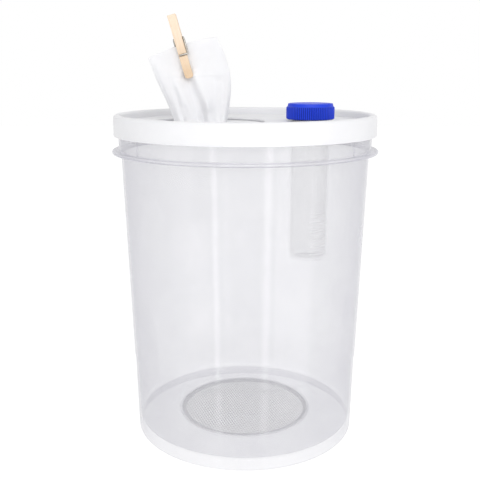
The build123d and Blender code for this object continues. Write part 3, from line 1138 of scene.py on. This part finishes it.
@dataclass
class Clothespin:
    """Small wooden clothespin: two legs and the wire spring that crosses from one to the other."""

    lean: float = 15.9
    coil: Triple = (-47.002, 0.0, 290.249)
    width: float = 5.9
    jaw: float = 26.5
    handle: float = 18.6
    half_gap: float = 1.0
    outer: float = 4.7
    handle_thickness: float = 2.3
    tip_thickness: float = 1.3
    bevel_length: float = 9.0
    relief_start: float = 4.5
    bite_radius: float = 1.6
    bite_to_tip: float = 9.5
    band: float = 9.8
    notch_depth: float = 0.5
    wire: float = 0.7
    tip_round: float = 2.0
    coil_radius: float = 2.0
    coil_turns: float = 4.5
    coil_length: float = 7.6
    coil_steps: int = 162
    clearance: float = 0.15
    edge_round: float = 0.22
    groove_steps: int = 8
    bite_steps: int = 6
    blend_reach: float = 0.55

    def placed(self) -> Matrix:
        """Works out where the clothespin stands.

        Returns:
            The move from its own frame, X to the handles and Y to the front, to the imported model's.
        """
        lean = radians(self.lean)
        along = Vector((-sin(lean), 0, cos(lean)))
        axis = Vector((cos(lean), 0, sin(lean)))
        front = axis.cross(along)
        turn = Matrix((along, front, axis)).transposed().to_4x4()
        return Matrix.Translation(self.coil) @ turn

    def leg(self, side: int) -> Mesh:
        """Makes one leg.

        Args:
            side: 1 for the front leg, -1 for the rear one.

        Returns:
            The mesh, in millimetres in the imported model's frame.
        """
        notch = self.wire + self.clearance
        groove = self.coil_radius + self.wire + self.clearance
        inner = self.half_gap
        outline = [(-self.jaw, inner + self.tip_thickness), (-self.jaw + self.bevel_length, self.outer),
                   (-self.band - notch, self.outer), (-self.band - notch, self.outer - self.notch_depth),
                   (-self.band + notch, self.outer - self.notch_depth), (-self.band + notch, self.outer),
                   (self.handle, self.outer), (self.handle, self.outer - self.handle_thickness),
                   (self.relief_start, inner)]
        reach = sqrt(groove ** 2 - inner ** 2)
        for step in range(self.groove_steps + 1):
            angle = atan2(inner, reach) + (pi - 2 * atan2(inner, reach)) * step / self.groove_steps
            outline.append((groove * cos(angle), groove * sin(angle)))
        bite = -self.jaw + self.bite_to_tip
        for step in range(self.bite_steps + 1):
            angle = pi * step / self.bite_steps
            outline.append((bite + self.bite_radius * cos(angle), inner + self.bite_radius * sin(angle)))
        outline.append((-self.jaw, inner))
        bm = bmesh.new()
        corners = [bm.verts.new((x, y * side, -self.width / 2)) for x, y in outline]
        rim = [bm.edges.new(ends) for ends in zip(corners, corners[1:] + corners[:1])]
        face = bmesh.ops.contextual_create(bm, geom=rim)["faces"]
        grown = bmesh.ops.extrude_face_region(bm, geom=face)["geom"]
        lifted = [item for item in grown if isinstance(item, bmesh.types.BMVert)]
        bmesh.ops.translate(bm, verts=lifted, vec=(0, 0, self.width))
        outward(bm)
        tips = [edge for edge in bm.edges if edge.verts[0].co.x < 0.1 - self.jaw
                and edge.verts[1].co.x < 0.1 - self.jaw and abs(edge.verts[0].co.y - edge.verts[1].co.y) > 0.1]
        bmesh.ops.bevel(bm, geom=tips, offset=self.tip_round, offset_type="OFFSET", segments=4, profile=0.5,
                        affect="EDGES", material=-1)
        keen = [edge for edge in bm.edges if edge.calc_face_angle(0.0) > radians(50)
                and edge.calc_length() > 0.9 and edge.verts[0].co.x > 2 * self.tip_round - self.jaw]
        bmesh.ops.bevel(bm, geom=keen, offset=self.edge_round, offset_type="OFFSET", segments=2, profile=0.5,
                        affect="EDGES", clamp_overlap=True, material=-1)
        bmesh.ops.transform(bm, matrix=self.placed(), verts=bm.verts[:])
        return bm

    def spring(self) -> Mesh:
        """Makes the spring as one continuous wire: arm, coil and arm.

        Returns:
            The mesh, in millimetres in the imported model's frame.
        """
        side = self.coil_length / 2
        front = self.outer - self.notch_depth + self.wire + self.clearance
        points = [Vector((-self.band, front, -self.width / 2 + self.wire)),
                  Vector((-self.band, front, side - 0.9)), Vector((-self.band, front - 0.25, side - 0.1)),
                  Vector((-self.band + 0.6, front - 0.8, side))]
        for step in range(self.coil_steps + 1):
            share = step / self.coil_steps
            turn = (0.5 - share) * 2 * pi * self.coil_turns
            points.append(Vector((self.coil_radius * cos(turn), self.coil_radius * sin(turn),
                                  side * (1 - 2 * share))))
        half = points[:4]
        points += [Vector((p.x, -p.y, -p.z)) for p in reversed(half)]
        return piped(points, self.wire, 8, self.placed())

    def build(self) -> None:
        """Makes the two legs and the spring."""
        for name, node, side, body in (("peg_front_wood", "peg_front_leg", 1, Body.PEG_FRONT),
                                       ("peg_rear_wood", "peg_rear_leg", -1, Body.PEG_REAR)):
            finished(name, self.leg(side), PEG_WOOD, body, [node], sharp=30)
        wire = finished("peg_spring_wire", self.spring(), SPRING_METAL, Body.PEG_FRONT,
                        ["peg_spring_front", "peg_spring_rear"], sharp=60)
        wire.parent = None
        del wire["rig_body"]
        # Known fault: this runs along the coil, and should run from front to rear. Pressed, the arms cut into the legs.
        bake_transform(wire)


@dataclass
class Studio:
    """Pale floor, soft lights and the camera."""

    camera_place: Triple = (-0.0037, -0.5291, 0.2704)
    camera_pitch: float = radians(76.65)
    lens: float = 53.75
    ambient: float = 0.66
    side_level: float = -0.05
    side_height: float = 1.5
    floor_size: float = 6.0
    floor_level: float = -0.0002
    floor_glow: Pair = (0.63, 0.33)
    floor_lights: Triple = (0.8, 0.8, 0.8)
    floor_shows: Triple = (0.12, 0.12, 0.12)

    def world(self) -> None:
        """Makes a white background that lights the object more softly than it looks."""
        world = bpy.data.worlds.new("studio")
        bpy.context.scene.world = world
        recipe = Recipe(world)
        soft = recipe.node("Background", {"Color": WHITE, "Strength": self.ambient})
        shown = recipe.node("Background", {"Color": WHITE})
        recipe.finish(recipe.node("MixShader", {
            0: recipe.seen(), 1: soft.outputs[0], 2: shown.outputs[0]}).outputs[0], "OutputWorld")

    def floor(self) -> None:
        """Makes the pale floor, which looks white but keeps the object's shadow."""
        bm = bmesh.new()
        bmesh.ops.create_grid(bm, x_segments=1, y_segments=1, size=self.floor_size / 2)
        shifted(bm, (0, 0, self.floor_level))
        mesh = bpy.data.meshes.new("floor")
        bm.to_mesh(mesh)
        bm.free()
        floor = staged("floor", mesh)
        recipe = Recipe(bpy.data.materials.new("floor_white"))
        seen = recipe.seen()
        paper = recipe.node("BsdfDiffuse", {
            "Color": recipe.blend_colours(seen, self.floor_lights, self.floor_shows)})
        glow = recipe.node("Emission", {"Strength": recipe.math("MULTIPLY_ADD", seen, *self.floor_glow)})
        mesh.materials.append(recipe.finish(recipe.node("AddShader", {
            0: paper.outputs[0], 1: glow.outputs[0]}).outputs[0]))
        floor.visible_glossy = False

    def lamp(self, name: str, place: Sequence[float], aim: Sequence[float], size: Sequence[float],
             power: float) -> None:
        """Adds one soft rectangular lamp.

        Args:
            name: Name of the lamp.
            place: Where it stands, in metres.
            aim: The point it faces.
            size: Its width and height.
            power: Its power in watts.
        """
        data = bpy.data.lights.new(name, "AREA")
        data.shape = "RECTANGLE"
        data.size, data.size_y = size
        data.energy = power
        lamp = staged(name, data)
        lamp.location = place
        lamp.rotation_euler = (Vector(aim) - Vector(place)).to_track_quat("-Z", "Y").to_euler()

    def lamps(self) -> None:
        """Adds the lamps: broad ones overhead and in front, and upright strips and panels that the wall mirrors."""
        self.lamp("overhead", (0.0, -0.1, 1.3), (0, 0, 0.15), (1.1, 1.1), 1.2)
        self.lamp("front_soft", (0.1, -1.1, 1.0), (0, 0, 0.25), (1.0, 0.8), 7.0)
        for name, x, y, width, power in (
                ("strip_left", -0.495, -0.963, 0.07, 0.75), ("strip_right", 0.371, -1.019, 0.13, 0.9),
                ("panel_left", -0.95, -0.72, 0.8, 0.9), ("panel_right", 0.86, -0.8, 0.85, 2.8)):
            self.lamp(name, (x, y, self.side_level), (0, 0, self.side_level), (width, self.side_height), power)

    def camera(self) -> None:
        """Adds the camera at the photograph's place."""
        data = bpy.data.cameras.new("camera")
        data.lens = self.lens
        data.sensor_width = 36.0
        data.clip_start, data.clip_end = 0.01, 30.0
        camera = staged("camera", data)
        camera.location = self.camera_place
        camera.rotation_euler = (self.camera_pitch, 0, 0)
        bpy.context.scene.camera = camera

    def build(self) -> None:
        """Makes the studio."""
        self.camera()
        self.world()
        self.floor()
        self.lamps()
        bpy.context.scene.view_settings.view_transform = "Standard"


def main() -> None:
    """Builds the studio and each sub-assembly in order."""
    for maker in (Studio(), Tub(), Vent(), Lid(), SampleTube(), Sleeve(), Clothespin()):
        maker.build()
        LOG.info("%s is made", type(maker).__name__)


if __name__ == "__main__":
    logging.basicConfig(level=logging.INFO, format="%(message)s")
    main()
